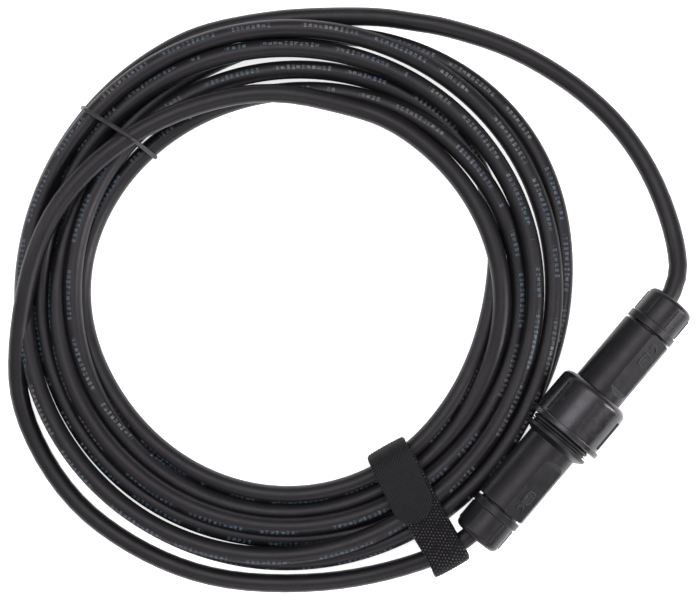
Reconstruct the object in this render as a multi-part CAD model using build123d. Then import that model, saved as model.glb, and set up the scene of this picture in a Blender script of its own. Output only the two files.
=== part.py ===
"""In-line three-pole cable connector on a coiled rubber lead.

The connector lies along X, its axis above the surface that it rests on. The plug half, with the
pins and the outer thread, is on the -X side. The socket half, with the coupling nut, is on the
+X side. The lead leaves both glands and lies in one loose coil on the +Y side. All sizes in mm.
"""
from build123d import *
import math
import os

# Connector, overall
AXIS_Z = 16.8  # height of the connector's axis: the coupling nut's flange touches the surface
HALF_LENGTH = 62.5  # from the middle to each gland nut's outer face

# Housings
PLUG_R = 11.0
SOCKET_R = 10.8
BODY_END = 46.2  # where each housing's barrel stops, next to its gland nut
CAVITY_R = 8.6  # room for the terminals
SPIGOT_R = 8.8  # gland nut's thread on the back of each housing
SPIGOT_END = 53.0
SPIGOT_BORE_R = 6.6
SPIGOT_BORE_START = 42.0
EDGE_CHAMFER = 0.5

# Plug housing's front
SHOULDER_START = -13.8
RIM_START = -11.9
RIM_END = -10.3
RIM_R = 14.4
LIP_R = 13.4
NECK_R = 12.5
THREAD_R = 13.0
THREAD_ROOT_R = 12.3
THREAD_START = -6.4
THREAD_PITCH = 3.0
THREAD_RINGS = 4
PLUG_FRONT = 6.9
MATING_BORE_R = 9.9
ORING_GROOVE = (-9.0, -7.2)
ORING_GROOVE_DEPTH = 0.7
ORING_R = 0.78  # radius of the ring's own section
MATING_KEY_END = 6.1
MATING_KEY_DEPTH = 1.4

# Spanner flats on both housings
FLAT_TILT = 32.0  # degrees from straight up, towards -Y
FLAT_R = 9.7
FLAT_RAMP = 2.0
PLUG_FLAT_END = -20.4
SOCKET_FLAT_START = 19.9
PAD_X = 36.0  # middle of the hatched pad on each flat
CRESCENT_X = 41.5

# Socket housing's front
COLLAR_R = 12.9
COLLAR_START = 8.8
COLLAR_END = 11.2
FACE_SEAL_R = 12.4

# Contact carriers and contacts
PLUG_SEAT = -19.8
PLUG_FACE = -6.4
PLUG_INSERT_R = 9.8
NOSE_R = 9.4
NOSE_START = -5.2
SOCKET_INSERT_R = 8.5
SOCKET_SEAT = 19.8
CONTACT_PITCH_R = 4.6
CONTACT_NAMES = {"earth": 90.0, "line": 210.0, "neutral": 330.0}
PIN_R = 1.25
PIN_TIP = 4.6
SHANK_R = 1.9
SHANK_FIT = 0.05
BLOCK_R = 2.8
BLOCK_START = 20.0
BLOCK_END = 29.0
WIRE_HOLE_R = 1.1
WIRE_HOLE_START = 22.5
SOCKET_BORE_R = 1.4
SOCKET_BORE_END = 8.0
CONTACT_MOUTH = -4.2
SCREW_X = 25.5
SCREW_R = 1.1
SCREW_FIT = 0.05
KEY_WIDTH = 2.0
KEY_GAP = 0.4

# Coupling nut
NUT_FLANGE_R = 16.8
NUT_R = 15.4
NUT_START = -7.0
NUT_FLANGE_END = -4.7
NUT_END = 14.9
NUT_CORNER = 3.2
NUT_BORE_R = 13.4
NUT_LIP_START = 12.5
NUT_LIP_R = 11.2
NUT_RIBS = 6
NUT_RIB_PHASE = 5.0  # degrees from straight up, towards -Y
NUT_RIB_SPAN = (-3.4, 10.1)
NUT_RIB_WIDTH = 1.0
NUT_RIB_R = 15.9

# Glands, described on the +X side
GLAND_COLLAR_R = 10.8
GLAND_COLLAR_SPAN = (47.2, 50.3)
GLAND_BARREL_R = 10.0
GLAND_CORNER = 2.4
GLAND_BORE_R = 9.1
GLAND_SHOULDER = 56.7
GLAND_MOUTH_R = 6.9
GLAND_RIBS = 6
GLAND_RIB_R = 10.35
GLAND_RIB_WIDTH = 0.9
PLUG_GLAND_PHASE = 25.0  # how far each gland nut is turned
SOCKET_GLAND_PHASE = 19.0
CAGE_START = 43.0
CAGE_R = 6.4
CAGE_BORE_R = 5.4
CAGE_FLANGE = (53.3, 53.9)
CAGE_FLANGE_R = 8.2
CAGE_TIP = 55.0
CAGE_SLOT_START = 47.5
CAGE_SLOT_WIDTH = 0.8
CAGE_SLOTS = 4  # right through, so they make twice as many fingers
SEAL_SPAN = (43.5, 51.6)
SEAL_R = 5.3
SEAL_GROOVE_DEPTH = 0.3
SEAL_GROOVES = 3
SEAL_GROOVE_START = 45.0
SEAL_GROOVE_PITCH = 2.0
THRUST_SPAN = (55.4, 56.4)
THRUST_R = (6.2, 8.9)

# Lead
CABLE_R = 3.8
CABLE_INSIDE = 40.5  # where the jacket ends inside each housing
CORE_R = 1.2
CORE_PITCH_R = 1.45
FERRULE_R = 1.0
CORE_JOINT = 30.5  # where each core enters its ferrule
ARC_SHARE = 0.45  # of the shorter run that each arc takes up

# Coil
COIL_CENTRE = (-32.6, 120.4)
COIL_OUTER_R = 115.0
COIL_INNER_R = 78.5
COIL_INNER_SHIFT = (-2.95, -0.52)  # the inner edge is a little off centre
COIL_HEIGHT = 14.6
COIL_GAP_BODY = 11.6  # the coil's strands stay behind this Y beside the housings
COIL_GAP_NUT = 17.4  # and behind this one beside the coupling nut
COIL_CUT_BODY = (-71.0, -15.0)  # the stretches of X along which it is cut back
COIL_CUT_NUT = (-16.0, 24.0)

# Hook-and-loop strap round the bundle
STRAP_FOLD = (-57.9, 50.9)  # middle of the fold inside the coil
STRAP_ANGLE = -110.7
STRAP_LENGTH = 56.0
STRAP_WIDTH = 17.0
STRAP_THICK = 1.4
STRAP_HEIGHT = 21.0
STRAP_CORNER = 6.0
TAB_LENGTH = 32.5
TAB_THICK = 1.2
TAB_GAP = 0.3

# Rubber tie on the far side of the coil
TIE_ANGLE = 88.0
TIE_SPAN = (74.5, 117.5)
TIE_HEIGHT = 23.0
TIE_THICK = 1.0
TIE_WIDTH = 1.8
TIE_CORNER = 3.0

# The lead's free stretches, corner by corner
PLUG_TAIL = [
    (-CABLE_INSIDE, 0, AXIS_Z),
    (-63, 0, AXIS_Z),
    (-94, 14, 5.5),
    (-120.5, 36, 4),
    (-145.5, 68, 3.8),
    (-157, 101.5, 3.8),
    (-159, 137.5, 3.8),
    (-144.5, 175, 5),
    (-121, 194.5, 12.5),
    (-82.5, 214.5, 18),
    (-46, 217, 18),
    (-9, 205, 18),
    (23, 181.5, 17),
    (41, 148, 12),
]
SOCKET_TAIL = [
    (CABLE_INSIDE, 0, AXIS_Z),
    (62, 0, AXIS_Z),
    (84.5, 14.5, 9),
    (101.5, 44, 4.6),
    (107.5, 76, 3.8),
    (103, 113, 3.8),
    (91, 142, 3.8),
    (83.2, 154.8, 3.8),
]
LEAD_IN = [
    (83.2, 154.8, 3.8),
    (75.4, 167.6, 3.8),
    (57.5, 188.5, 3.8),
    (44, 202, 3.8),
]


def on_axis(shape):
    """Lift a piece made round the X axis to the connector's axis."""
    return Pos(0, 0, AXIS_Z) * shape


def turned(profile):
    """A piece turned round the X axis from an outline of (x, radius) points."""
    return revolve(make_face(Polyline(*profile, close=True)), Axis.X)


def ring(x_start, x_end, r_in, r_out):
    return turned([(x_start, r_in), (x_end, r_in), (x_end, r_out), (x_start, r_out)])


def rod(x_start, x_end, radius):
    return turned([(x_start, 0), (x_end, 0), (x_end, radius), (x_start, radius)])


def mirrored(shape):
    """The same piece on the plug half."""
    return mirror(shape, about=Plane.YZ)


def rolled(shape, angle):
    """Turn a piece round the X axis: from straight up towards -Y."""
    return Rot(angle, 0, 0) * shape


def contact_place(angle):
    a = math.radians(angle)
    return Pos(0, CONTACT_PITCH_R * math.cos(a), CONTACT_PITCH_R * math.sin(a))


def rib(x_span, r_top, width, depth=1.0):
    """A raised lengthwise rib with rounded ends, on top of a barrel."""
    length = x_span[1] - x_span[0]
    pad = extrude(SlotOverall(length, width), amount=depth)
    return Pos((x_span[0] + x_span[1]) / 2, 0, r_top - depth) * pad


# ---- spanner flats and their raised marks ----

def flat_cutter(x_open, x_end, r_body):
    """The material taken away for one flat: open at one end, with a ramp at the other."""
    ramp_dir = 1 if x_end > x_open else -1
    top = r_body + 1
    rise = FLAT_RAMP * (top - FLAT_R) / (r_body - FLAT_R)
    outline = [(x_open, FLAT_R), (x_end, FLAT_R), (x_end + ramp_dir * rise, top), (x_open, top)]
    return extrude(Plane.XZ * make_face(Polyline(*outline, close=True)), amount=r_body, both=True)


def hatch_pad(x_mid, length=6.0, width=4.4, height=0.3, lines=7, line_width=0.3):
    """A raised rounded frame filled with parallel lines, standing on a flat."""
    frame_face = RectangleRounded(length, width, 1.4) - RectangleRounded(length - 0.7, width - 0.7, 1.1)
    pad = extrude(frame_face, amount=height)
    for i in range(lines):
        share = (i + 1) / (lines + 1) - 0.5
        pad += Pos(share * length, 0, height / 2) * Box(line_width, width - 0.5, height)
    return Pos(x_mid, 0, FLAT_R) * pad


def crescent(x_mid, outer_r=1.9, height=0.3):
    """A raised crescent beside the hatched pad."""
    face = Circle(outer_r) - Pos(-0.8, 0) * Circle(outer_r - 0.1)
    return Pos(x_mid, 0, FLAT_R) * extrude(face, amount=height)


def with_flats(shell, x_open, x_end, r_body, pad_x, crescent_x):
    for turn in (FLAT_TILT, FLAT_TILT + 180):
        shell -= rolled(flat_cutter(x_open, x_end, r_body), turn)
        shell += rolled(hatch_pad(pad_x), turn)
        shell += rolled(crescent(crescent_x), turn)
    return shell


# ---- plug half ----

def plug_shell():
    e = EDGE_CHAMFER
    outline = [
        (-SPIGOT_END, SPIGOT_BORE_R), (-SPIGOT_END, SPIGOT_R - e), (-SPIGOT_END + e, SPIGOT_R),
        (-BODY_END, SPIGOT_R), (-BODY_END, PLUG_R - e), (-BODY_END + e, PLUG_R),
        (SHOULDER_START, PLUG_R), (RIM_START, RIM_R - e / 2), (RIM_START + e / 2, RIM_R),
        (RIM_END - e / 2, RIM_R), (RIM_END, RIM_R - e / 2),
        (RIM_END, NECK_R), (RIM_END + 0.5, NECK_R), (RIM_END + 0.6, LIP_R), (RIM_END + 1.0, LIP_R),
        (RIM_END + 1.1, NECK_R), (ORING_GROOVE[0], NECK_R), (ORING_GROOVE[0], NECK_R - ORING_GROOVE_DEPTH),
        (ORING_GROOVE[1], NECK_R - ORING_GROOVE_DEPTH), (ORING_GROOVE[1], THREAD_R),
        (THREAD_START, THREAD_R),
    ]
    for i in range(THREAD_RINGS):
        x = THREAD_START + i * THREAD_PITCH
        outline += [
            (x + 0.6, THREAD_ROOT_R), (x + 1.5, THREAD_ROOT_R), (x + 2.1, THREAD_R), (x + 3.0, THREAD_R),
        ]
    outline += [
        (PLUG_FRONT - 0.6, THREAD_R), (PLUG_FRONT, THREAD_ROOT_R), (PLUG_FRONT, MATING_BORE_R),
        (PLUG_SEAT, MATING_BORE_R), (PLUG_SEAT, CAVITY_R),
        (-SPIGOT_BORE_START, CAVITY_R), (-SPIGOT_BORE_START, SPIGOT_BORE_R),
    ]
    shell = turned(outline)
    key = Box(MATING_KEY_END - PLUG_FACE, KEY_WIDTH, MATING_KEY_DEPTH)
    shell += Pos((MATING_KEY_END + PLUG_FACE) / 2, 0, MATING_BORE_R - 0.4) * key
    return with_flats(shell, -BODY_END - 1, PLUG_FLAT_END, PLUG_R, -PAD_X, -CRESCENT_X)


def plug_insert():
    body = rod(PLUG_SEAT, PLUG_FACE, PLUG_INSERT_R)
    for angle in CONTACT_NAMES.values():
        body -= contact_place(angle) * rod(PLUG_SEAT - 1, PLUG_FACE + 1, SHANK_R + SHANK_FIT)
    return body


def terminal(contact):
    """Bore the wire hole in a contact's block, from its back end."""
    return contact - rod(WIRE_HOLE_START, BLOCK_END + 1, WIRE_HOLE_R)


def screw_at(angle, radius, r_from, r_to):
    """A cylinder that points outward from the axis through a contact's block."""
    a = math.radians(angle)
    out = Vector(0, math.cos(a), math.sin(a))
    place = Plane(origin=Vector(SCREW_X, 0, 0) + out * r_from, z_dir=out)
    return place * extrude(Circle(radius), amount=r_to - r_from)


def with_screw_hole(contact, angle):
    placed = contact_place(angle) * contact
    return placed - screw_at(angle, SCREW_R + SCREW_FIT, CONTACT_PITCH_R, CONTACT_PITCH_R + BLOCK_R + 1)


def plug_pin(angle):
    """Made on the +X side and mirrored: block, shank and rounded pin."""
    pin = turned([
        (BLOCK_END, 0), (BLOCK_END, BLOCK_R), (BLOCK_START, BLOCK_R), (BLOCK_START, SHANK_R),
        (-PLUG_FACE, SHANK_R), (-PLUG_FACE, PIN_R), (-PIN_TIP + 0.9, PIN_R), (-PIN_TIP + 0.2, PIN_R - 0.5),
        (-PIN_TIP, PIN_R - 0.9), (-PIN_TIP, 0),
    ])
    return mirrored(with_screw_hole(terminal(pin), angle))


def terminal_screws():
    screws = []
    for angle in CONTACT_NAMES.values():
        r_from = CONTACT_PITCH_R + FERRULE_R + 0.05
        screw = screw_at(angle, SCREW_R, r_from, r_from + 2.4)
        a = math.radians(angle)
        out = Vector(0, math.cos(a), math.sin(a))
        slot_place = Plane(origin=Vector(SCREW_X, 0, 0) + out * (r_from + 2.4), z_dir=out)
        screw -= slot_place * Box(3.0, 0.4, 1.0)
        screws.append(screw)
    return screws


def thread_oring():
    return Pos(sum(ORING_GROOVE) / 2, 0, 0) * Rot(0, 90, 0) * Torus(NECK_R + 0.1, ORING_R)


# ---- socket half ----

def socket_shell():
    e = EDGE_CHAMFER
    shell = turned([
        (COLLAR_START, CAVITY_R), (COLLAR_START, COLLAR_R), (COLLAR_END, COLLAR_R), (COLLAR_END, SOCKET_R),
        (BODY_END - e, SOCKET_R), (BODY_END, SOCKET_R - e), (BODY_END, SPIGOT_R),
        (SPIGOT_END - e, SPIGOT_R), (SPIGOT_END, SPIGOT_R - e), (SPIGOT_END, SPIGOT_BORE_R),
        (SPIGOT_BORE_START, SPIGOT_BORE_R), (SPIGOT_BORE_START, CAVITY_R),
    ])
    return with_flats(shell, BODY_END + 1, SOCKET_FLAT_START, SOCKET_R, PAD_X, CRESCENT_X)


def socket_insert():
    body = turned([
        (NOSE_START, 0), (NOSE_START, NOSE_R - 0.6), (NOSE_START + 0.6, NOSE_R),
        (COLLAR_START - 0.05, NOSE_R),
        (COLLAR_START - 0.05, SOCKET_INSERT_R), (SOCKET_SEAT, SOCKET_INSERT_R), (SOCKET_SEAT, 0),
    ])
    for angle in CONTACT_NAMES.values():
        body -= contact_place(angle) * rod(CONTACT_MOUTH - 0.1, SOCKET_SEAT + 1, SHANK_R + SHANK_FIT)
        body -= contact_place(angle) * rod(NOSE_START - 1, 0, SOCKET_BORE_R + 0.1)
    slot_length = PLUG_FRONT + 0.3 - NOSE_START
    slot_mid = (PLUG_FRONT + 0.3 + NOSE_START) / 2
    slot = Box(slot_length, KEY_WIDTH + 2 * KEY_GAP, 2.4)
    return body - Pos(slot_mid, 0, MATING_BORE_R - 0.3) * slot


def socket_contact(angle):
    contact = turned([
        (CONTACT_MOUTH, SOCKET_BORE_R), (CONTACT_MOUTH, SHANK_R), (BLOCK_START, SHANK_R),
        (BLOCK_START, BLOCK_R), (BLOCK_END, BLOCK_R), (BLOCK_END, 0), (SOCKET_BORE_END, 0),
        (SOCKET_BORE_END, SOCKET_BORE_R),
    ])
    return with_screw_hole(terminal(contact), angle)


def socket_face_seal():
    return ring(PLUG_FRONT + 0.4, COLLAR_START - 0.1, NOSE_R + 0.05, FACE_SEAL_R)


def coupling_slip_washer():
    return ring(COLLAR_END + 0.1, NUT_LIP_START - 0.3, SOCKET_R + 0.1, COLLAR_R - 0.1)


def coupling_nut():
    outline = make_face(Polyline(
        (NUT_START, NUT_BORE_R), (NUT_START, NUT_FLANGE_R - 0.3), (NUT_START + 0.3, NUT_FLANGE_R),
        (NUT_FLANGE_END - 0.3, NUT_FLANGE_R), (NUT_FLANGE_END, NUT_FLANGE_R - 0.3), (NUT_FLANGE_END, NUT_R),
        (NUT_END, NUT_R), (NUT_END, NUT_LIP_R), (NUT_LIP_START, NUT_LIP_R), (NUT_LIP_START, NUT_BORE_R),
        close=True,
    ))
    corner = outline.vertices().sort_by_distance((NUT_END, NUT_R, 0))[0]
    nut = revolve(fillet(corner, NUT_CORNER), Axis.X)
    for i in range(NUT_RIBS):
        nut += rolled(rib(NUT_RIB_SPAN, NUT_RIB_R, NUT_RIB_WIDTH), NUT_RIB_PHASE + i * 360 / NUT_RIBS)
    return nut


# ---- glands, both made on the +X side ----

def gland_nut(rib_phase):
    outline = make_face(Polyline(
        (GLAND_COLLAR_SPAN[0], GLAND_BORE_R), (GLAND_COLLAR_SPAN[0], GLAND_COLLAR_R),
        (GLAND_COLLAR_SPAN[1] - 0.3, GLAND_COLLAR_R), (GLAND_COLLAR_SPAN[1] + 0.1, GLAND_BARREL_R),
        (HALF_LENGTH, GLAND_BARREL_R), (HALF_LENGTH, GLAND_MOUTH_R), (GLAND_SHOULDER, GLAND_MOUTH_R),
        (GLAND_SHOULDER, GLAND_BORE_R),
        close=True,
    ))
    corner = outline.vertices().sort_by_distance((HALF_LENGTH, GLAND_BARREL_R, 0))[0]
    nut = revolve(fillet(corner, GLAND_CORNER), Axis.X)
    span = (GLAND_COLLAR_SPAN[1] + 0.6, HALF_LENGTH - GLAND_CORNER - 0.4)
    for i in range(GLAND_RIBS):
        nut += rolled(rib(span, GLAND_RIB_R, GLAND_RIB_WIDTH, 0.8), rib_phase + i * 360 / GLAND_RIBS)
    return nut


def clamp_cage():
    """A slotted collet round the seal: the gland nut presses its fingers in on the lead."""
    cage = turned([
        (CAGE_START, CAGE_BORE_R), (CAGE_START, CAGE_R), (CAGE_FLANGE[0], CAGE_R),
        (CAGE_FLANGE[0], CAGE_FLANGE_R), (CAGE_FLANGE[1], CAGE_FLANGE_R), (CAGE_TIP, CAGE_FLANGE_R - 0.8),
        (CAGE_TIP, CAGE_R - 0.2), (CAGE_TIP - 3.0, CAGE_BORE_R),
    ])
    slot_length = 2 * (CAGE_TIP - CAGE_SLOT_START)
    for i in range(CAGE_SLOTS):
        slot = Box(slot_length, CAGE_SLOT_WIDTH, 3 * CAGE_R)
        cage -= Rot(i * 180 / CAGE_SLOTS, 0, 0) * Pos(CAGE_TIP, 0, 0) * slot
    return cage


def gland_seal():
    groove_r = SEAL_R - SEAL_GROOVE_DEPTH
    outline = [(SEAL_SPAN[0], CABLE_R), (SEAL_SPAN[0], groove_r), (SEAL_SPAN[0] + 0.7, SEAL_R)]
    for i in range(SEAL_GROOVES):
        x = SEAL_GROOVE_START + i * SEAL_GROOVE_PITCH
        outline += [(x, SEAL_R), (x + 0.4, groove_r), (x + 0.9, groove_r), (x + 1.3, SEAL_R)]
    outline += [(SEAL_SPAN[1], SEAL_R), (SEAL_SPAN[1], CABLE_R)]
    return turned(outline)


def thrust_ring():
    return ring(*THRUST_SPAN, *THRUST_R)


# ---- lead ----

def line_rod(start, end, radius):
    a, b = Vector(*start), Vector(*end)
    return Plane(origin=a, z_dir=b - a) * extrude(Circle(radius), amount=(b - a).length)


def core(angle):
    a = math.radians(angle)
    start = (CABLE_INSIDE - 0.6, CORE_PITCH_R * math.cos(a), CORE_PITCH_R * math.sin(a))
    end = (CORE_JOINT + 0.5, CONTACT_PITCH_R * math.cos(a), CONTACT_PITCH_R * math.sin(a))
    return line_rod(start, end, CORE_R)


def ferrules():
    solids = []
    for angle in CONTACT_NAMES.values():
        solids.append(contact_place(angle) * rod(WIRE_HOLE_START + 0.5, CORE_JOINT - 0.3, FERRULE_R))
    return solids


def turn_at(points, i):
    """Degrees by which the route turns at its corner i."""
    before = Vector(*points[i]) - Vector(*points[i - 1])
    after = Vector(*points[i + 1]) - Vector(*points[i])
    return before.get_angle(after)


def route_radii(name, points):
    """Each corner's arc takes up the same share of its shorter run."""
    runs = [(Vector(*b) - Vector(*a)).length for a, b in zip(points, points[1:])]
    radii = []
    for i in range(1, len(points) - 1):
        half_turn = math.radians(turn_at(points, i)) / 2
        radii.append(ARC_SHARE * min(runs[i - 1], runs[i]) / math.tan(half_turn))
    print(name, "runs", [round(r, 1) for r in runs], "arc radii", [round(r, 1) for r in radii])
    return radii


def lead_tube(name, points):
    path = FilletPolyline(*points, radius=route_radii(name, points))
    start = Vector(*points[0])
    section = Plane(origin=start, z_dir=Vector(*points[1]) - start) * Circle(CABLE_R)
    tube = sweep(section, path=path)
    print(name, "length", round(path.length, 1), "volume ratio",
          round(tube.volume / (math.pi * CABLE_R ** 2 * path.length), 4))
    return tube


def strap_plane():
    a = math.radians(STRAP_ANGLE)
    along = Vector(math.cos(a), math.sin(a), 0)
    return Plane(origin=(*STRAP_FOLD, 0), x_dir=along, z_dir=along.cross(Vector(0, 0, 1)))


def loop_band(plane, span, height, thick, width, corner):
    """A flat closed band standing in a vertical plane, its lower run on the surface."""
    length = span[1] - span[0]
    mid = Pos((span[0] + span[1]) / 2, height / 2)
    face = mid * RectangleRounded(length, height, corner)
    face -= mid * RectangleRounded(length - 2 * thick, height - 2 * thick, corner - thick)
    return extrude(plane * face, amount=width / 2, both=True)


def strap_band():
    return loop_band(strap_plane(), (0, STRAP_LENGTH), STRAP_HEIGHT, STRAP_THICK, STRAP_WIDTH, STRAP_CORNER)


def strap_tab():
    """The strap's loose end, lying on the band: square at the fold and round at the tip."""
    a = math.radians(STRAP_ANGLE)
    along = Vector(math.cos(a), math.sin(a), 0)
    top = Plane(origin=(*STRAP_FOLD, STRAP_HEIGHT + TAB_GAP), x_dir=along, z_dir=(0, 0, 1))
    half = STRAP_WIDTH / 2
    straight = TAB_LENGTH - half
    face = Pos((straight + 2) / 2, 0) * Rectangle(straight - 2, STRAP_WIDTH)
    face += Pos(straight, 0) * Circle(half)
    return extrude(top * face, amount=TAB_THICK)


def tie_plane():
    a = math.radians(TIE_ANGLE)
    along = Vector(math.cos(a), math.sin(a), 0)
    return Plane(origin=(*COIL_CENTRE, 0), x_dir=along, z_dir=along.cross(Vector(0, 0, 1)))


def tie_ring():
    return loop_band(tie_plane(), TIE_SPAN, TIE_HEIGHT, TIE_THICK, TIE_WIDTH, TIE_CORNER)


def under_band(plane, span, thick, width):
    """The shallow room that a band needs under the coil."""
    length = span[1] - span[0] + 4
    room = Pos((span[0] + span[1]) / 2, thick / 2) * Rectangle(length, thick + 0.2)
    return extrude(plane * room, amount=width / 2 + 0.5, both=True)


def cable_coil():
    """The coil's outer shape: a flat ring, cut back beside the connector."""
    inner = Pos(COIL_INNER_SHIFT[0], COIL_INNER_SHIFT[1]) * Circle(COIL_INNER_R)
    coil = extrude(Pos(*COIL_CENTRE) * (Circle(COIL_OUTER_R) - inner), amount=COIL_HEIGHT)
    reach = 40.0
    for (x_start, x_end), gap in ((COIL_CUT_BODY, COIL_GAP_BODY), (COIL_CUT_NUT, COIL_GAP_NUT)):
        cut = Box(x_end - x_start, reach, COIL_HEIGHT + 2)
        coil -= Pos((x_start + x_end) / 2, gap - reach / 2, COIL_HEIGHT / 2) * cut
    coil -= under_band(strap_plane(), (0, STRAP_LENGTH), STRAP_THICK, STRAP_WIDTH)
    coil -= under_band(tie_plane(), TIE_SPAN, TIE_THICK, TIE_WIDTH)
    return coil


def save(name, shape):
    """Write one node. A list is a group of separate solids."""
    if isinstance(shape, list):
        shape = Compound(children=[s.solid() for s in shape])
    export_step(shape, f"parts/{name}.step")


def main():
    os.makedirs("parts", exist_ok=True)

    # Plug half
    save("plug_shell", on_axis(plug_shell()))
    save("plug_insert", on_axis(plug_insert()))
    save("plug_terminal_screws", [on_axis(mirrored(s)) for s in terminal_screws()])
    save("plug_ferrules", [on_axis(mirrored(f)) for f in ferrules()])
    save("plug_thread_oring", on_axis(thread_oring()))
    save("plug_gland_seal", on_axis(mirrored(gland_seal())))
    save("plug_clamp_cage", on_axis(mirrored(clamp_cage())))
    save("plug_thrust_ring", on_axis(mirrored(thrust_ring())))
    save("plug_gland_nut", on_axis(mirrored(gland_nut(PLUG_GLAND_PHASE))))

    # Socket half
    save("socket_shell", on_axis(socket_shell()))
    save("socket_insert", on_axis(socket_insert()))
    save("socket_terminal_screws", [on_axis(s) for s in terminal_screws()])
    save("socket_ferrules", [on_axis(f) for f in ferrules()])
    save("socket_face_seal", on_axis(socket_face_seal()))
    save("coupling_slip_washer", on_axis(coupling_slip_washer()))
    save("coupling_nut", on_axis(coupling_nut()))
    save("socket_gland_seal", on_axis(gland_seal()))
    save("socket_clamp_cage", on_axis(clamp_cage()))
    save("socket_thrust_ring", on_axis(thrust_ring()))
    save("socket_gland_nut", on_axis(gland_nut(SOCKET_GLAND_PHASE)))

    # One contact and one core for each pole, in each half
    for pole, angle in CONTACT_NAMES.items():
        save(f"plug_pin_{pole}", on_axis(plug_pin(angle)))
        save(f"socket_contact_{pole}", on_axis(socket_contact(angle)))
        save(f"plug_core_{pole}", on_axis(mirrored(core(angle))))
        save(f"socket_core_{pole}", on_axis(core(angle)))

    # Lead, its strap and its tie
    save("cable_tail_plug", lead_tube("cable_tail_plug", PLUG_TAIL))
    save("cable_tail_socket", lead_tube("cable_tail_socket", SOCKET_TAIL))
    save("cable_lead_in", lead_tube("cable_lead_in", LEAD_IN))
    save("cable_coil", cable_coil())
    save("strap_band", strap_band())
    save("strap_tab", strap_tab())
    save("tie_ring", tie_ring())


main()
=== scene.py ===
"""Looks of the in-line cable connector on its coiled lead.

Lengths are in metres, in the CAD's frame, except where a comment says mm.
"""

import math

import bpy
import numpy as np
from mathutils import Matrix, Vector


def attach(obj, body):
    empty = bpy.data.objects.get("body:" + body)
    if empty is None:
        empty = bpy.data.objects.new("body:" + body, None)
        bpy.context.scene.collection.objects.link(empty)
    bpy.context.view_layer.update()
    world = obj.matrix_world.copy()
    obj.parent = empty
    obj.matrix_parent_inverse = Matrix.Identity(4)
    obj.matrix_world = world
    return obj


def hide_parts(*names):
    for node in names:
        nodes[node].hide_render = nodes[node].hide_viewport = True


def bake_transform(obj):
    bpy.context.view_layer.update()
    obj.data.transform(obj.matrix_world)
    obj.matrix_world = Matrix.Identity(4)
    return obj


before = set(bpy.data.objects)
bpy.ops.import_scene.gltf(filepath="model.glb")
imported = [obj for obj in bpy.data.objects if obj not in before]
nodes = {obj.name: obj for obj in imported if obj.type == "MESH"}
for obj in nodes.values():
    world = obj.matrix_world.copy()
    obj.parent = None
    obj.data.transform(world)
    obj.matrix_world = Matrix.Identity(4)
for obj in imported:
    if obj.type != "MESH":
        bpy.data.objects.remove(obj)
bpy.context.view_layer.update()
MM = 0.001
FULL_TURN = 2 * math.pi


# ---------------------------------------------------------------- camera, light, floor

CAMERA_AT = (-0.0215, 0.1008, 0.700)
CAMERA_TURN = -49.96  # degrees about Z: the connector's axis runs up and to the right
LENS_MM = 87.0
SENSOR_MM = 36.0


def make_camera():
    data = bpy.data.cameras.new("camera")
    data.lens = LENS_MM
    data.sensor_width = SENSOR_MM
    camera = bpy.data.objects.new("camera", data)
    camera.location = CAMERA_AT
    camera.rotation_euler = (0, 0, math.radians(CAMERA_TURN))
    bpy.context.scene.collection.objects.link(camera)
    bpy.context.scene.camera = camera


def turned_by_camera(right, up):
    """A direction across the picture as a direction on the floor."""
    a = math.radians(CAMERA_TURN)
    return Vector((right * math.cos(a) - up * math.sin(a), right * math.sin(a) + up * math.cos(a), 0))


WALL_TO_DOME = (0.10, 0.85)  # the sines of the heights between which the dome brightens
WALL_GLOW, DOME_GLOW = 0.16, 0.80
DOME_COLOUR = (1, 0.975, 1, 1)
# name, place right and up in the picture, height, size, power in watts
LIGHTS = [
    ("key", (-0.1, 0.35), 1.20, (0.9, 0.7), 6),
    ("right", (1.15, -0.35), 0.62, (0.30, 0.9), 13),
    ("left", (-1.1, 0.3), 0.75, (0.30, 0.9), 3),
    ("front", (0.1, -1.1), 0.70, (1.0, 0.30), 3),
]
FLOOR_REACH = 6.0
FLOOR_WHITE = 0.93
FLOOR_GLOW = 0.75


def area_light(name, across, height, size, power):
    """A rectangle of light aimed at the floor below the camera. across is its place in the picture's axes."""
    data = bpy.data.lights.new(name, "AREA")
    data.shape = "RECTANGLE"
    data.size, data.size_y = size
    data.energy = power
    light = bpy.data.objects.new(name, data)
    below_camera = Vector((CAMERA_AT[0], CAMERA_AT[1], 0))
    light.location = below_camera + turned_by_camera(*across) + Vector((0, 0, height))
    light.rotation_euler = (below_camera - light.location).to_track_quat("-Z", "Y").to_euler()
    bpy.context.scene.collection.objects.link(light)


def make_world():
    """A soft white dome, bright overhead and darker towards the walls of the room."""
    world = bpy.data.worlds.new("studio")
    world.use_nodes = True
    tree = world.node_tree
    place = tree.nodes.new("ShaderNodeTexCoord")
    split = tree.nodes.new("ShaderNodeSeparateXYZ")
    ramp = tree.nodes.new("ShaderNodeMapRange")
    ramp.interpolation_type = "SMOOTHSTEP"
    for k, value in enumerate((*WALL_TO_DOME, WALL_GLOW, DOME_GLOW), start=1):
        ramp.inputs[k].default_value = value
    tree.links.new(place.outputs["Generated"], split.inputs[0])
    tree.links.new(split.outputs["Z"], ramp.inputs[0])
    tree.links.new(ramp.outputs[0], tree.nodes["Background"].inputs["Strength"])
    tree.nodes["Background"].inputs["Color"].default_value = DOME_COLOUR
    bpy.context.scene.world = world


def make_light():
    for light in LIGHTS:
        area_light(*light)
    make_world()
    bpy.context.scene.view_settings.view_transform = "Standard"


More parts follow.
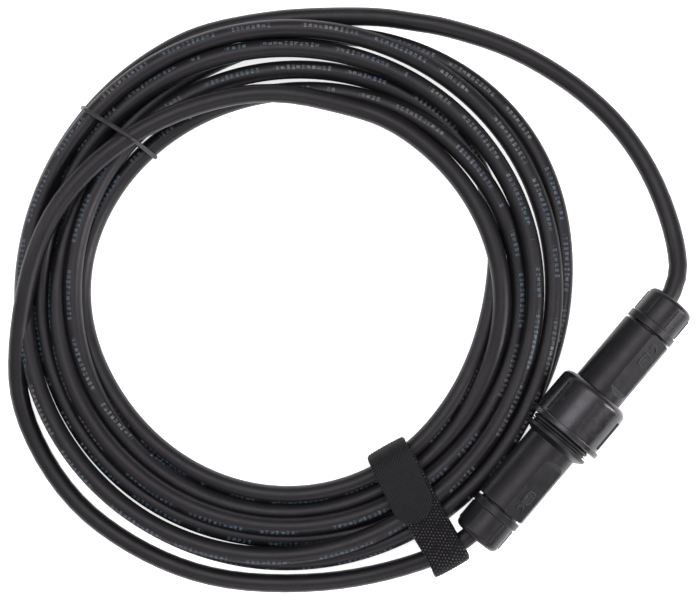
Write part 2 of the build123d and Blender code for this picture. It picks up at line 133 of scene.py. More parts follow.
def make_floor():
    mesh = bpy.data.meshes.new("floor")
    corners = [(-1, -1), (1, -1), (1, 1), (-1, 1)]
    mesh.from_pydata([(x * FLOOR_REACH, y * FLOOR_REACH, 0) for x, y in corners], [], [(0, 1, 2, 3)])
    floor = bpy.data.objects.new("floor", mesh)
    bpy.context.scene.collection.objects.link(floor)
    paint = bpy.data.materials.new("floor_white")
    paint.use_nodes = True
    shader = paint.node_tree.nodes["Principled BSDF"]
    shader.inputs["Base Color"].default_value = (FLOOR_WHITE, FLOOR_WHITE, FLOOR_WHITE, 1)
    shader.inputs["Roughness"].default_value = 0.9
    shader.inputs["Emission Color"].default_value = (1, 1, 1, 1)
    shader.inputs["Emission Strength"].default_value = FLOOR_GLOW
    mesh.materials.append(paint)


make_camera()
make_light()
make_floor()


# ---------------------------------------------------------------- materials

class Graph:
    """A short way to write a node tree: each method adds one node and gives its output."""

    def __init__(self, name, **values):
        self.material = bpy.data.materials.new(name)
        self.material.use_nodes = True
        self.tree = self.material.node_tree
        self.shader = self.tree.nodes["Principled BSDF"]
        self.set(Specular_Tint=(0.97, 0.92, 1.0))
        self.set(**values)

    def set(self, **values):
        for key, value in values.items():
            self.put(self.shader.inputs[key.replace("_", " ")], value)

    def put(self, socket, value):
        if isinstance(value, bpy.types.NodeSocket):
            self.tree.links.new(value, socket)
        elif hasattr(value, "__len__") and len(value) == 3 and socket.type == "RGBA":
            socket.default_value = (*value, 1)
        else:
            socket.default_value = value

    def node(self, kind, inputs=None, output=0, **settings):
        made = self.tree.nodes.new("ShaderNode" + kind)
        for key, value in settings.items():
            setattr(made, key, value)
        for key, value in (inputs or {}).items():
            self.put(made.inputs[key], value)
        return made.outputs[output]

    def math(self, operation, a, b=0.0, c=0.0):
        return self.node("Math", {0: a, 1: b, 2: c}, operation=operation)

    def place(self):
        """The point on the piece, in metres."""
        return self.node("TexCoord", output="Object")

    def uv(self, name):
        """A UV map as one output, and its two numbers as one output each."""
        both = self.node("UVMap", output="UV", uv_map=name)
        split = self.tree.nodes.new("ShaderNodeSeparateXYZ")
        self.tree.links.new(both, split.inputs[0])
        return both, split.outputs[0], split.outputs[1]

    def noise(self, scale, detail=3.0, roughness=0.55, vector=None):
        vector = self.place() if vector is None else vector
        inputs = {"Vector": vector, "Scale": scale, "Detail": detail, "Roughness": roughness}
        return self.node("TexNoise", inputs)

    def ramp(self, value, low, high, out_low=0.0, out_high=1.0):
        return self.node("MapRange", {0: value, 1: low, 2: high, 3: out_low, 4: out_high})

    def mix(self, share, a, b):
        made = self.tree.nodes.new("ShaderNodeMix")
        made.data_type = "RGBA"
        self.put(made.inputs[0], share)
        self.put(made.inputs[6], a)
        self.put(made.inputs[7], b)
        return made.outputs[2]

    def bump(self, height, strength, distance, normal=None):
        inputs = {"Height": height, "Strength": strength, "Distance": distance}
        if normal is not None:
            inputs["Normal"] = normal
        return self.node("Bump", inputs)

    def rounded(self, radius):
        """A normal that rounds off sharp edges by so much."""
        return self.node("Bevel", {"Radius": radius}, samples=8)


def moulded(name, dark, light, rough, grain=0.35, edge=0.00025, scuffs=0.25, specular=0.5):
    """Injection-moulded plastic: spark-eroded grain, flow marks, dry scuffs, painted highlights along sharp
    edges and painted shade in crevices.
    """
    g = Graph(name, Specular_IOR_Level=specular)
    cloud = g.noise(90.0, 4.0)
    scuff = g.ramp(g.noise(420.0, 5.0, 0.7), 0.62, 0.74)
    colour = g.mix(g.ramp(cloud, 0.35, 0.7), dark, light)
    colour = g.mix(g.math("MULTIPLY", scuff, scuffs), colour, tuple(4 * c + 0.02 for c in light))
    roughness = g.ramp(g.noise(260.0, 3.0), 0.3, 0.7, rough - 0.05, rough + 0.06)
    rounded = g.rounded(edge)
    flat_normal = g.node("NewGeometry", output="Normal")
    turned = g.node("VectorMath", {0: rounded, 1: flat_normal}, 1, operation="DOT_PRODUCT")
    # ambient occlusion finds the crevices, for the painted shade and the painted highlight below
    clear_of_painted_shade = g.ramp(g.node("AmbientOcclusion", {"Distance": 0.0015}, "AO", samples=8), 0.45, 0.90)
    # painted highlight: sharp edges, where the rounded normal turns away from the flat one, are painted
    # lighter, except in crevices
    ink_wear_and_painted_edge_highlight = g.math("MULTIPLY", g.ramp(turned, 0.998, 0.955), clear_of_painted_shade)
    colour = g.mix(g.math("MULTIPLY", ink_wear_and_painted_edge_highlight, 0.70), colour, tuple(5 * c + 0.035 for c in light))
    # painted shade: crevices are painted darker, towards a third of the dark tone
    colour = g.mix(clear_of_painted_shade, tuple(0.35 * c for c in dark), colour)
    normal = g.bump(g.noise(4200.0, 2.0, 0.6), grain, 0.00006, rounded)
    roughness = g.math("ADD", roughness, g.math("MULTIPLY", scuff, 0.12))
    g.set(Base_Color=colour, Roughness=roughness, Normal=normal)
    return g.material


PRINT_HEIGHT = 0.088  # of the way round the jacket
PRINT_PITCH = 0.0021
PRINT_GROUP, GROUP_INKED = 0.0294, 0.79  # the length of a group of marks, and how much of it has ink
PRINT_LINE, LINE_INKED = 0.0861, 0.88  # the same for the longer lines
SLIT_AT, SLIT_HALF_WIDTH = 0.011, 0.0035  # a slit in some marks, as a share of the way round


def jacket():
    """Satin rubber with fine lengthwise drawing lines, dust, and a broken line of plain ink marks."""
    g = Graph("lead_jacket", Specular_IOR_Level=0.30)
    both, along, around = g.uv("route")
    shade = g.ramp(g.noise(60.0, 4.0), 0.3, 0.7)
    colour = g.mix(shade, (0.0050, 0.0048, 0.0052), (0.0090, 0.0087, 0.0092))
    dust = g.ramp(g.noise(1500.0, 3.0, 0.7), 0.66, 0.76)
    colour = g.mix(g.math("MULTIPLY", dust, 0.10), colour, (0.10, 0.10, 0.10))
    # ink marks: one short block for each letter's place, with gaps between the groups
    cell = g.math("DIVIDE", along, PRINT_PITCH)
    letter = g.node("TexWhiteNoise", {"W": g.math("FLOOR", cell)}, output="Value", noise_dimensions="1D")
    across = g.math("ABSOLUTE", g.math("SUBTRACT", g.math("FRACT", around), 0.5))
    tall = g.math("LESS_THAN", across, g.ramp(letter, 0.0, 1.0, 0.30 * PRINT_HEIGHT, 0.5 * PRINT_HEIGHT))
    wide = g.math("LESS_THAN", g.math("FRACT", cell), g.ramp(letter, 0.0, 1.0, 0.72, 0.45))
    from_slit = g.math("ABSOLUTE", g.math("SUBTRACT", across, SLIT_AT))
    slit = g.math("GREATER_THAN", from_slit, g.ramp(letter, 0.3, 0.31, 0.0, SLIT_HALF_WIDTH))
    group = g.math("LESS_THAN", g.math("FRACT", g.math("DIVIDE", along, PRINT_GROUP)), GROUP_INKED)
    longer = g.math("LESS_THAN", g.math("FRACT", g.math("DIVIDE", along, PRINT_LINE)), LINE_INKED)
    ink = g.math("MULTIPLY", g.math("MULTIPLY", tall, wide), g.math("MULTIPLY", group, longer))
    ink = g.math("MULTIPLY", ink, slit)
    ink_wear_and_painted_edge_highlight = g.ramp(g.noise(700.0, 2.0), 0.34, 0.62, 0.10, 0.80)
    tint = g.ramp(g.noise(14.0, 1.0), 0.45, 0.55)
    ink_colour = g.mix(tint, (0.150, 0.150, 0.155), (0.085, 0.125, 0.170))
    colour = g.mix(g.math("MULTIPLY", ink, ink_wear_and_painted_edge_highlight), colour, ink_colour)
    # drawing lines run along the jacket
    stretched = g.node("Mapping", {"Vector": both, "Scale": (14.0, 60.0, 1.0)})
    lines = g.noise(1.0, 3.0, 0.6, stretched)
    normal = g.bump(lines, 0.18, 0.00012)
    normal = g.bump(g.noise(2600.0, 3.0, 0.65), 0.25, 0.00005, normal)
    roughness = g.ramp(g.noise(180.0, 3.0), 0.3, 0.7, 0.36, 0.45)
    g.set(Base_Color=colour, Roughness=roughness, Normal=normal)
    return g.material


def soft_rubber(name, dark, light, rough):
    """Moulded or extruded rubber and core insulation: cloudy colour and a fine matt grain."""
    g = Graph(name, Specular_IOR_Level=0.4)
    colour = g.mix(g.ramp(g.noise(240.0, 4.0), 0.3, 0.7), dark, light)
    normal = g.bump(g.noise(3000.0, 3.0, 0.65), 0.3, 0.00006)
    roughness = g.ramp(g.noise(500.0), 0.3, 0.7, rough - 0.05, rough + 0.08)
    g.set(Base_Color=colour, Roughness=roughness, Normal=normal)
    return g.material


def metal(name, colour, tarnish, rough):
    """Machined metal with turning marks and a little tarnish."""
    g = Graph(name, Metallic=1.0, Specular_Tint=(1.0, 1.0, 1.0))
    spots = g.ramp(g.noise(350.0, 4.0, 0.6), 0.42, 0.72)
    squeezed = g.node("Mapping", {"Vector": g.place(), "Scale": (6.0, 1.0, 1.0)})
    marks = g.noise(700.0, 2.0, 0.5, squeezed)
    g.set(
        Base_Color=g.mix(spots, colour, tarnish),
        Roughness=g.ramp(marks, 0.3, 0.7, rough - 0.06, rough + 0.1),
        Normal=g.bump(marks, 0.2, 0.00004),
    )
    return g.material


def woven(name, low, high, glint, glint_share, bump, rough, specular):
    """A strap's woven face. The relief modelled in the mesh also shades it, the colour carries painted shade
    in the weave's hollows and painted glints on its tops, and noise adds the fibres.
    """
    g = Graph(name, Specular_IOR_Level=specular, Sheen_Weight=0.05, Sheen_Roughness=0.5)
    _, height, _ = g.uv("weave")
    cloth, _, _ = g.uv("cloth")
    stretched = g.node("Mapping", {"Vector": cloth, "Scale": (5200.0, 1900.0, 1.0)})
    fibres = g.noise(1.0, 3.0, 0.65, stretched)
    uneven = g.noise(330.0, 3.0)
    raised = g.math("ADD", height, g.ramp(fibres, 0.3, 0.7, -0.12, 0.12))
    # painted shade: the colour is darker in the weave's hollows and lighter on its raised tops
    colour = g.mix(g.ramp(raised, 0.15, 0.95), low, high)
    # painted glints: patches of the highest loops are painted towards the glint colour
    shine = g.math("MULTIPLY", g.ramp(raised, 0.78, 1.0), g.ramp(uneven, 0.40, 0.60))
    colour = g.mix(g.math("MULTIPLY", shine, glint_share), colour, glint)
    lint = g.ramp(g.noise(2500.0, 2.0, 0.7), 0.70, 0.76)
    colour = g.mix(g.math("MULTIPLY", lint, 0.3), colour, (0.10, 0.10, 0.105))
    normal = g.bump(fibres, bump, 0.00012)
    g.set(Base_Color=colour, Roughness=g.ramp(raised, 0.0, 1.0, 0.92, rough), Normal=normal)
    return g.material


HOUSING = moulded("housing_plastic", (0.0045, 0.0045, 0.0050), (0.0074, 0.0073, 0.0080), 0.36, specular=0.30)
NUT = moulded(
    "nut_plastic", (0.0050, 0.0050, 0.0055), (0.0090, 0.0090, 0.0096), 0.25,
    grain=0.2, edge=0.00014, specular=0.52,
)
GLAND = moulded(
    "gland_plastic", (0.0045, 0.0045, 0.0050), (0.0076, 0.0075, 0.0082), 0.34, grain=0.3, specular=0.33
)
INSERT = moulded("insert_plastic", (0.020, 0.020, 0.021), (0.030, 0.030, 0.031), 0.5)
NYLON = moulded("cage_nylon", (0.46, 0.45, 0.41), (0.60, 0.59, 0.55), 0.42, scuffs=0.0)
SEAL = soft_rubber("seal_rubber", (0.008, 0.008, 0.008), (0.014, 0.014, 0.014), 0.48)
TIE = soft_rubber("tie_rubber", (0.010, 0.010, 0.0105), (0.018, 0.018, 0.019), 0.42)
BRASS = metal("contact_brass", (0.72, 0.52, 0.24), (0.45, 0.30, 0.13), 0.26)
STEEL = metal("screw_steel", (0.60, 0.60, 0.62), (0.42, 0.42, 0.42), 0.30)
TIN = metal("ferrule_tin", (0.68, 0.68, 0.69), (0.50, 0.50, 0.50), 0.34)
JACKET = jacket()
# low to high paints shade into the weave's hollows against its tops, and glint is the colour of the painted
# glints
TWILL = woven(
    "strap_back", low=(0.0015, 0.0015, 0.0017), high=(0.0130, 0.0126, 0.0138), glint=(0.05, 0.05, 0.052),
    glint_share=0.3, bump=0.5, rough=0.66, specular=0.16,
)
PILE = woven(
    "strap_face", low=(0.0010, 0.0010, 0.0012), high=(0.0085, 0.0082, 0.0092), glint=(0.13, 0.13, 0.135),
    glint_share=0.75, bump=0.7, rough=0.55, specular=0.18,
)
CORES = {
    "earth": soft_rubber("core_green_yellow", (0.10, 0.32, 0.05), (0.62, 0.60, 0.05), 0.5),
    "line": soft_rubber("core_brown", (0.10, 0.035, 0.015), (0.16, 0.06, 0.03), 0.45),
    "neutral": soft_rubber("core_blue", (0.02, 0.08, 0.36), (0.03, 0.12, 0.46), 0.45),
}
FINISH = {
    "plug_shell": HOUSING, "socket_shell": HOUSING, "coupling_nut": NUT,
    "plug_gland_nut": GLAND, "socket_gland_nut": GLAND,
    "plug_insert": INSERT, "socket_insert": INSERT,
    "plug_clamp_cage": NYLON, "socket_clamp_cage": NYLON, "plug_thrust_ring": NYLON,
    "socket_thrust_ring": NYLON, "coupling_slip_washer": NYLON,
    "plug_gland_seal": SEAL, "socket_gland_seal": SEAL, "socket_face_seal": SEAL, "plug_thread_oring": SEAL,
    "plug_terminal_screws": STEEL, "socket_terminal_screws": STEEL,
    "plug_ferrules": TIN, "socket_ferrules": TIN,
}
for pole, core_finish in CORES.items():
    FINISH["plug_core_" + pole] = FINISH["socket_core_" + pole] = core_finish
    FINISH["plug_pin_" + pole] = FINISH["socket_contact_" + pole] = BRASS
for node_name, finish in FINISH.items():
    nodes[node_name].data.materials.clear()
    nodes[node_name].data.materials.append(finish)


# ---------------------------------------------------------------- the lead's route

CABLE_D = 0.0076
FLOOR_Z = CABLE_D / 2
# The free stretches in mm, point by point, as the CAD has them. Only each tail's second point is further out,
# which leaves its gland nut room to move back
PLUG_TAIL = [
    (-40.5, 0, 16.8), (-65, 0, 16.8), (-94, 14, 5.5), (-120.5, 36, 4), (-145.5, 68, 3.8), (-157, 101.5, 3.8),
    (-159, 137.5, 3.8), (-144.5, 175, 5), (-121, 194.5, 12.5), (-82.5, 214.5, 18), (-46, 217, 18),
    (-9, 205, 18), (23, 181.5, 17), (41, 148, 12),
]
SOCKET_TAIL = [
    (40.5, 0, 16.8), (66.5, 0, 16.8), (84.5, 14.5, 9), (101.5, 44, 4.6), (107.5, 76, 3.8), (103, 113, 3.8),
    (91, 142, 3.8), (83.2, 154.8, 3.8),
]
LEAD_IN = [(75.4, 167.6, 3.8), (57.5, 188.5, 3.8), (44, 202, 3.8)]

COIL_CENTRE = np.array((-32.6, 120.4))
# Angles on the coil are the picture's, in degrees: 0 is to the right, and CAMERA_TURN more is the CAD's angle
STATIONS = 12  # places round the coil at which the plan below gives each turn's radius in mm
PLAN = [
    # 0    30     60     90     120    150    180    210    240    270    300    330 degrees
    [150.0, 140.0, 124.0, 113.5, 111.4, 110.6, 112.0, 114.4, 113.8, 111.8, 108.0, 105.2],
    [105.6, 107.4, 106.4, 106.4, 108.0, 108.8, 110.0, 113.4, 113.0, 108.8, 102.0, 98.8],
    [97.4, 97.6, 97.6, 98.4, 101.4, 103.2, 103.8, 106.0, 105.0, 101.6, 103.4, 107.6],
    [109.6, 116.8, 112.0, 103.6, 96.2, 95.4, 95.8, 98.2, 98.2, 96.6, 94.2, 92.8],
    [93.4, 89.8, 85.4, 81.0, 81.4, 85.0, 90.2, 86.8, 86.0, 85.8, 83.4, 79.4],
    [79.8, 92.6, 92.8, 89.8, 90.6, 92.6, 91.6, 92.6, 93.2, 91.6, 88.8, 85.8],
    [85.2, 80.8, 78.4, 80.0, 84.0, 98.0, 112.0, 124.0, 124.0, 120.0, 122.0, 124.0],
]
# How high each turn lies there: 0 on the floor, 1 on one strand, 2 on two
LEVEL = [
    [0, 0, 0, 0, 0, 0, 0, 0, 0, 0, 0.8, 1],
    [1, 0.4, 1, 1, 1, 1, 1, 1, 1, 1, 1, 1],
    [1, 1, 1, 1, 1, 0.6, 0.4, 0.4, 0.4, 0, 0, 0],
    [0, 0, 0, 0, 0, 0.5, 1, 1, 1, 0.8, 0.7, 0.5],
    [0.3, 0.8, 0.5, 0, 0, 0, 0, 0, 0, 0, 0, 0],
    [0, 0, 0, 0.6, 0.6, 0.6, 0.6, 0.5, 0.3, 0, 0, 0.2],
    [1, 1, 1, 1.8, 2, 2, 2, 2, 2, 2, 2, 2],
]
COIL_START = 96.8  # degrees: where the lead-in reaches the coil, in its first turn
COIL_END = 70.5  # and where the last turn leaves it
STEP = 10  # degrees between two of the spline's points on the coil
LAYER = 0.9 * CABLE_D / MM
RING_TURN = 88.0  # degrees about the coil's centre, in the CAD's axes
# Where strap and ring pass under the coil, and how far they lift it, in mm
UNDERLAYS = [(249.8 - CAMERA_TURN, 1.5), (RING_TURN - CAMERA_TURN, 1.1)]
RELAX_ROUNDS = 160
PUSH_APART = 0.25  # share of an overlap taken up in one round
HOLD_RADIUS, HOLD_HEIGHT = 0.06, 0.04  # how strongly a point is drawn back to the plan
EVEN_OUT = 0.12  # how strongly neighbouring points are drawn together


def smooth_between(a, b, c, d, t):
    """The share t of the way from b to c, on a smooth curve through a, b, c and d."""
    return b + 0.5 * t * (c - a + t * (2 * a - 5 * b + 4 * c - d + t * (3 * (b - c) + d - a)))


def between(values, place):
    """A smooth curve through a list of values, read at a fractional place in it."""
    i = min(max(int(math.floor(place)), 0), len(values) - 2)
    before, beyond = values[max(i - 1, 0)], values[min(i + 2, len(values) - 1)]
    return smooth_between(before, values[i], values[i + 1], beyond, place - i)


def coil_points():
    """The coil's points in mm, from the plan's radii and levels. Strands that would meet are pushed apart."""
    radii, levels = sum(PLAN, []), sum(LEVEL, [])
    angles = np.arange(0, (len(PLAN) - 1) * 360 + 180, STEP, float)
    plan = np.array([between(radii, a / 360 * STATIONS) for a in angles])
    aim_z = FLOOR_Z / MM + LAYER * np.array([between(levels, a / 360 * STATIONS) for a in angles])
    r, z = plan.copy(), aim_z.copy()
    per_turn = 360 // STEP
    ground = FLOOR_Z / MM + sum(
        lift * np.clip(np.cos(np.radians(angles - middle)) * 8 - 7, 0, 1) for middle, lift in UNDERLAYS
    )
    clear = CABLE_D / MM * 1.02
    for _ in range(RELAX_ROUNDS):
        push_r, push_z = np.zeros_like(r), np.zeros_like(z)
        for gap in range(per_turn, len(r), per_turn):
            dr, dz = r[gap:] - r[:-gap], z[gap:] - z[:-gap]
            apart = np.hypot(dr, dz)
            short = np.clip(clear - apart, 0, None) / np.maximum(apart, 1e-6) * PUSH_APART
            push_r[gap:] += dr * short * 0.5
            push_r[:-gap] -= dr * short * 0.5
            push_z[gap:] += dz * short
            push_z[:-gap] -= dz * short
        r += push_r + HOLD_RADIUS * (plan - r)
        z += push_z + HOLD_HEIGHT * (aim_z - z)
        for x in (r, z):
            x[1:-1] += EVEN_OUT * (x[:-2] + x[2:] - 2 * x[1:-1])
        z = np.maximum(z, ground)
    inside = 1 / math.cos(math.radians(STEP / 2))  # the spline runs a little inside its points
    first, last = COIL_START + STEP, (len(PLAN) - 1) * 360 + COIL_END - STEP
    points = []
    for a, radius, height in zip(angles, r * inside, z):
        if first <= a <= last:
            turn = math.radians(a + CAMERA_TURN)
            x, y = COIL_CENTRE + radius * np.array((math.cos(turn), math.sin(turn)))
            points.append((x, y, height))
    return points


def lead_spline():
    """The whole lead as one open spline, from inside the socket half to inside the plug half."""
    curve = bpy.data.curves.new("lead_route", "CURVE")
    curve.dimensions = "3D"
    curve.resolution_u = 5
    spline = curve.splines.new("NURBS")
    points = SOCKET_TAIL + LEAD_IN + coil_points() + PLUG_TAIL[::-1]
    spline.points.add(len(points) - 1)
    for point, place in zip(spline.points, points):
        point.co = (*(Vector(place) * MM), 1)
    spline.order_u = 3
    spline.use_endpoint_u = True
    mesh = bpy.data.meshes.new_from_object(bpy.data.objects.new("lead_route", curve))
    line = np.array([v.co for v in mesh.vertices], float).reshape(-1, 3)
    bpy.data.meshes.remove(mesh)
    return line


def distance_along(line):
    """How far along a line of points each of them is."""
    return np.concatenate([[0], np.cumsum(np.linalg.norm(np.diff(line, axis=0), axis=1))])


def across_and_up(line):
    """At each point of a line that never stands upright: the level direction across it, and up."""
    along = np.gradient(line, axis=0)
    along /= np.linalg.norm(along, axis=1)[:, None]
    side = np.cross(along, (0, 0, 1))
    side /= np.linalg.norm(side, axis=1)[:, None]
    return side, np.cross(side, along)


def add_object(name, verts, faces, material):
    """A smooth-shaded mesh object in the scene."""
    mesh = bpy.data.meshes.new(name)
    mesh.from_pydata([tuple(v) for v in verts], [], faces)
    mesh.update()
    for polygon in mesh.polygons:
        polygon.use_smooth = True
    obj = bpy.data.objects.new(name, mesh)
    bpy.context.scene.collection.objects.link(obj)
    mesh.materials.append(material)
    return obj


def ring_faces(rings, sides, closed=False):
    """The faces between neighbouring rings of points, and from the last to the first if closed."""
    return [
        (i * sides + j, i * sides + (j + 1) % sides,
         (i + 1) % rings * sides + (j + 1) % sides, (i + 1) % rings * sides + j)
        for i in range(rings if closed else rings - 1) for j in range(sides)
    ]


def tube(name, line, radius, sides, material):
    """A tube with closed ends: rings of points along a line."""
    across, up = across_and_up(line)
    angles = np.arange(sides) / sides * FULL_TURN
    rings = line[:, None] + radius * (
        np.cos(angles)[None, :, None] * across[:, None] + np.sin(angles)[None, :, None] * up[:, None]
    )
    last = (len(line) - 1) * sides
    faces = ring_faces(len(line), sides)
    faces += [tuple(range(sides))[::-1], tuple(range(last, last + sides))]
    return add_object(name, rings.reshape(-1, 3), faces, material)


def map_uv(obj, name, uv_of_corner):
    """A UV map filled corner by corner: uv_of_corner(face, place in the face) gives two numbers."""
    layer = obj.data.uv_layers.new(name=name)
    for polygon in obj.data.polygons:
        for k, corner in enumerate(polygon.loop_indices):
            layer.data[corner].uv = uv_of_corner(polygon.index, k)


# ---------------------------------------------------------------- the lead

LEAD_SIDES = 24
LEAD_TURNS = 6.86  # from end to end
SHOWN_PRINT = 0.17  # how far round the jacket the print lies where it shows
HIDDEN_PRINT = 0.66  # near both ends the print is turned under


def smooth_step(start, end, value):
    """0 before start, 1 past end, and smooth from one to the other. start may be the larger."""
    t = min(max((value - start) / (end - start), 0.0), 1.0)
    return t * t * (3 - 2 * t)


def print_turn(distance, total):
    """How far round the jacket the print lies, at a distance along the lead."""
    place = distance / total * LEAD_TURNS * 2 * math.pi
    wander = 0.02 * math.sin(distance * 7.3) + 0.015 * math.sin(distance * 17.1 + 1.0)
    shown = SHOWN_PRINT - 0.05 * math.cos(place + 0.9) + wander
    hidden = max(smooth_step(0.50, 0.40, distance), smooth_step(total - 0.85, total - 0.70, distance))
    return shown + (HIDDEN_PRINT - shown) * hidden


def make_lead():
    """The lead, with its UV map of the metres along it and the turns round it from the print."""
    line = lead_spline()
    lead = tube("lead", line, CABLE_D / 2, LEAD_SIDES, JACKET)
    distance = distance_along(line)
    turns = [print_turn(x, distance[-1]) for x in distance]

    def uv(face, k):
        i, j = divmod(face, LEAD_SIDES)
        if i >= len(line) - 1:
            return (0.0, 0.0)
        i, j = (i, j + k) if k < 2 else (i + 1, j + 3 - k)
        return (distance[i], j / LEAD_SIDES - turns[i] + 0.5)

    map_uv(lead, "route", uv)
    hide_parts("cable_coil", "cable_tail_plug", "cable_tail_socket", "cable_lead_in")
    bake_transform(lead)
    return line


LEAD_LINE = make_lead()

# ---------------------------------------------------------------- strap and ring

STRAP_FOLD = np.array((-57.9, 50.9)) * MM
STRAP_TURN = math.radians(-110.7)
STRAP_ALONG = np.array((math.cos(STRAP_TURN), math.sin(STRAP_TURN)))
STRAP_SIDE = np.array((-STRAP_ALONG[1], STRAP_ALONG[0]))
STRAP_FINE = 0.22  # mm between the rows and columns of its mesh
BAND_WIDTH, TAB_WIDTH = 16.6, 17.2  # mm
BAND_THICK, TAB_THICK = 1.3, 1.15  # mm
MEETING_ROWS = 20  # over which the band takes on the tab's width at the fold
THIN_EDGE = 0.35  # the thickness at a strip's edge, as a share of that in its middle
CROWN = 0.25  # mm that a strip's middle stands above its edges
LEAST_HEIGHT = 0.02  # mm that every point of a strip stays above the floor
INNER_WEAVE = 0.4  # the weave height given to the plain inner face, which sets its painted shade and roughness
# The strap's middle surface, in mm along it and up: from its hidden end out, under the coil and back up
BAND_ROUTE = [
    (7, 18.7), (12, 18.0), (20, 17.0), (28, 16.6), (35, 17.2), (42, 18.6), (48, 19.6), (52.3, 19.2),
    (54.9, 16.4), (55.4, 11.5), (55.0, 6.5), (53.0, 2.2), (48, 0.85), (38, 0.8), (26, 0.8), (14, 0.8),
    (6.5, 1.0), (2.2, 3.6), (0.8, 8.5), (0.75, 13.5),
]
TAB_ROUTE = [
    (0.75, 13.5), (1.6, 17.2), (3.6, 19.7), (6.5, 20.6), (11, 20.0), (17, 19.1), (24, 18.35), (29, 18.25),
    (32.6, 18.6),
]


def smooth_route(points, spacing, before=None, after=None):
    """Evenly spaced points on a smooth curve through the given ones, its direction and the distance at each.

    before and after are points past its ends, which set its direction there.
    """
    points = np.array(points, float)
    first = 2 * points[0] - points[1] if before is None else np.array(before)
    last = 2 * points[-1] - points[-2] if after is None else np.array(after)
    padded = np.vstack([first, points, last])
    fine = []
    for i in range(1, len(padded) - 2):
        p0, p1, p2, p3 = padded[i - 1 : i + 3]
        for t in np.arange(0, 1, 0.02):
            fine.append(smooth_between(p0, p1, p2, p3, t))
    fine = np.array(fine + [points[-1]])
    run = distance_along(fine)
    places = np.linspace(0, run[-1], int(run[-1] / spacing) + 1)
    even = np.stack([np.interp(places, run, fine[:, k]) for k in range(2)], axis=1)
    along = np.gradient(even, axis=0)
    return even, along / np.linalg.norm(along, axis=1)[:, None], places


def strip(name, route, along, places, width, shift, thick, relief, material):
    """A woven strip: its outer face carries the weave's relief, and its edges are thinner and rounded.

    width and shift give its width and sideways place at each row, relief(across, along) its weave, all in mm.
    """
    columns = int(max(width) / STRAP_FINE)
    columns += columns % 2
    share = np.linspace(-1, 1, columns + 1)
    normal = np.stack([-along[:, 1], along[:, 0]], axis=1)
    full = np.sqrt(np.clip(1 - np.abs(share) ** 14, 0.0, 1.0))
    edge = THIN_EDGE + (1 - THIN_EDGE) * full  # how thick the strip is across it, as a share
    across = share[None, :] * width[:, None] / 2
    weave = relief(across, np.broadcast_to(places[:, None], across.shape))
    crown = CROWN * (1 - share ** 2)[None, :]
    outer = thick / 2 * edge[None, :] + weave * edge[None, :] + crown
    inner = -thick / 2 * edge[None, :] + crown * 0.6 + np.zeros_like(across)

    def face_points(height):
        u = route[:, 0, None] + normal[:, 0, None] * height
        z = route[:, 1, None] + normal[:, 1, None] * height
        s = across + shift[:, None]
        plan = STRAP_FOLD + MM * (u[..., None] * STRAP_ALONG + s[..., None] * STRAP_SIDE)
        return np.concatenate([plan, MM * np.maximum(z, LEAST_HEIGHT)[..., None]], axis=2)

    rows, cols = across.shape
    verts = np.concatenate([face_points(outer).reshape(-1, 3), face_points(inner).reshape(-1, 3)])
    below = rows * cols
    faces = []
    for i in range(rows - 1):
        for j in range(cols - 1):
            a = i * cols + j
            faces.append((a, a + cols, a + cols + 1, a + 1))
            faces.append((below + a, below + a + 1, below + a + cols + 1, below + a + cols))
        a, b = i * cols, i * cols + cols - 1
        faces.append((a, below + a, below + a + cols, a + cols))
        faces.append((b, b + cols, below + b + cols, below + b))
    for j in range(cols - 1):
        a, b = j, (rows - 1) * cols + j
        faces.append((a, a + 1, below + a + 1, below + a))
        faces.append((b, below + b, below + b + 1, b + 1))
    strip_object = add_object(name, verts, faces, material)
    flat = np.stack([across, np.broadcast_to(places[:, None], across.shape)], axis=2).reshape(-1, 2) * MM
    flat = np.concatenate([flat, flat])
    raised = np.concatenate([weave.reshape(-1) / weave.max(), np.full(weave.size, INNER_WEAVE)])
    maps = {"cloth": flat, "weave": np.stack([raised, raised * 0], axis=1)}
    for map_name, values in maps.items():
        layer = strip_object.data.uv_layers.new(name=map_name)
        for loop in strip_object.data.loops:
            layer.data[loop.index].uv = values[loop.vertex_index]
    return strip_object


PILE_ROW, PILE_LOOP = 1.15, 1.45  # mm
TWILL_RIB, TWILL_YARN = 1.5, 1.1  # mm


def pile_relief(across, along):
    """Rows of small loops, each row half a loop along from the one beside it."""
    row = np.floor(across / PILE_ROW)
    in_row = np.cos((across / PILE_ROW - row - 0.5) * math.pi)
    loops = np.abs(np.sin((along / PILE_LOOP + row * 0.5 + 0.10 * np.sin(along * 0.9 + row)) * math.pi))
    return 0.32 * in_row ** 0.7 * loops ** 0.8


def twill_relief(across, along):
    """Fine ribs that run diagonally over the strip, with the yarns that cross them."""
    diagonal = (across + 1.2 * along) / TWILL_RIB
    ribs = np.abs(np.sin(diagonal * math.pi))
    yarn = np.abs(np.sin((across - 0.25 * along) / TWILL_YARN * math.pi))
    return 0.20 * ribs + 0.09 * yarn


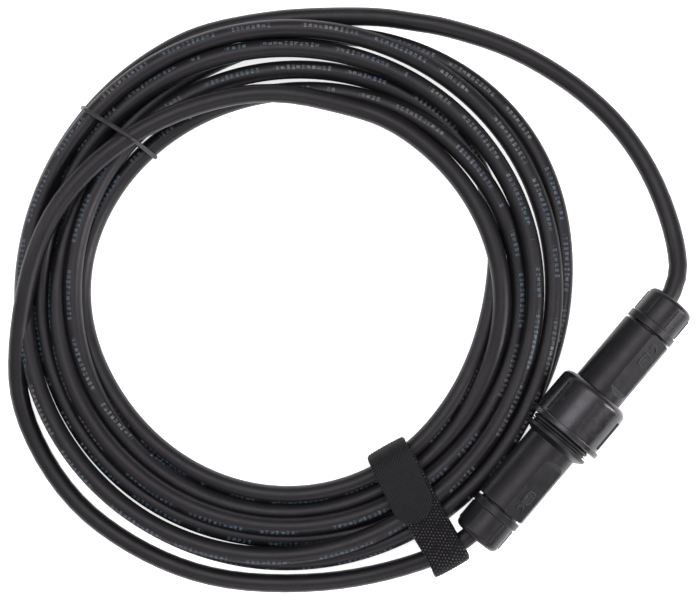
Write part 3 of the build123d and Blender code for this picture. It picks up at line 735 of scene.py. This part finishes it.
def make_strap():
    """The strap's band round the bundle, and its loose end, which carries on from the band at the fold."""
    route, along, places = smooth_route(BAND_ROUTE, STRAP_FINE, after=TAB_ROUTE[1])
    share = places / places[-1]
    width = BAND_WIDTH - 1.5 * np.exp(-(((share - 0.30) / 0.10) ** 2)) + 0.15 * np.sin(places * 0.35)
    shift = 0.6 * np.exp(-((share / 0.25) ** 2)) + 0.12 * np.sin(places * 0.21)
    towards_tab = np.linspace(0, 1, MEETING_ROWS)
    width[-MEETING_ROWS:] += towards_tab * (TAB_WIDTH - width[-1])
    shift[-MEETING_ROWS:] -= towards_tab * shift[-1]
    band = strip("strap_loop_band", route, along, places, width, shift, BAND_THICK, pile_relief, PILE)
    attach(band, "root")
    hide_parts("strap_band")

    route, along, places = smooth_route(TAB_ROUTE, STRAP_FINE, before=BAND_ROUTE[-2])
    to_tip = places[-1] - places
    half = TAB_WIDTH / 2
    width = 2 * np.sqrt(np.clip(half ** 2 - np.clip(half - to_tip, 0, half) ** 2, 0.15, None))
    shift = -2.0 * (places / places[-1]) ** 1.3
    tab = strip("strap_tab_end", route, along, places, width, shift, TAB_THICK, twill_relief, TWILL)
    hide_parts("strap_tab")
    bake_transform(tab)


def around_circles(centres, radius, count):
    """Evenly spaced points of a band drawn tight round circles."""
    turns = np.linspace(0, FULL_TURN, 720, endpoint=False)
    directions = np.stack([np.cos(turns), np.sin(turns)], axis=1)
    reach = directions @ np.array(centres).T
    touch = np.array(centres)[np.argmax(reach, axis=1)] + radius * directions
    loop = np.vstack([touch, touch[:1]])
    run = distance_along(loop)
    even = np.linspace(0, run[-1], count, endpoint=False)
    return np.stack([np.interp(even, run, loop[:, k]) for k in range(2)], axis=1)


RING_SKEW = 8.0  # degrees that the ring lies askew
RING_RADIUS = 97.0  # mm from the coil's centre to the middle of the bundle there
BUNDLE_REACH = 0.035  # on each side of that, where the ring looks for strands
RING_GAP = 0.00060  # between the strands' surface and the middle of the ring's section
RING_HALF_THICK, RING_HALF_WIDE = 0.00058, 0.00095
RING_POINTS, RING_SIDES = 220, 14


def make_ring():
    """The thin rubber ring that holds the coil on the side away from the strap, drawn tight round it."""
    turn, skew = math.radians(RING_TURN), math.radians(RING_TURN + RING_SKEW)
    along, side = np.array((math.cos(skew), math.sin(skew))), np.array((-math.sin(skew), math.cos(skew)))
    centre = (COIL_CENTRE + RING_RADIUS * np.array((math.cos(turn), math.sin(turn)))) * MM
    crossings = []
    for a, b in zip(LEAD_LINE[:-1], LEAD_LINE[1:]):
        before, beyond = (a[:2] - centre) @ side, (b[:2] - centre) @ side
        if before * beyond < 0:
            place = a + (b - a) * before / (before - beyond)
            if abs((place[:2] - centre) @ along) < BUNDLE_REACH:
                crossings.append(((place[:2] - centre) @ along, place[2]))
    loop = around_circles(crossings, CABLE_D / 2 + RING_GAP, RING_POINTS)
    for _ in range(6):
        loop = loop + 0.25 * (np.roll(loop, 1, axis=0) + np.roll(loop, -1, axis=0) - 2 * loop)
    ahead = np.roll(loop, -1, axis=0) - np.roll(loop, 1, axis=0)
    ahead /= np.linalg.norm(ahead, axis=1)[:, None]
    outward = np.stack([ahead[:, 1], -ahead[:, 0]], axis=1)
    angles = np.arange(RING_SIDES) / RING_SIDES * FULL_TURN
    verts = []
    for k in range(len(loop)):
        sway = 0.0004 * math.sin(k / len(loop) * 2 * math.pi * 2 + 0.5)
        thick = RING_HALF_THICK * (1 + 0.06 * math.sin(k * 0.31))
        for angle in angles:
            u, z = loop[k] + outward[k] * thick * math.cos(angle)
            plan = centre + along * u + side * (sway + RING_HALF_WIDE * math.sin(angle))
            verts.append((*plan, max(z, 0.00002)))
    ring = add_object("tie_band", verts, ring_faces(len(loop), RING_SIDES, closed=True), TIE)
    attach(ring, "root")
    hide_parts("tie_ring")


make_strap()
make_ring()
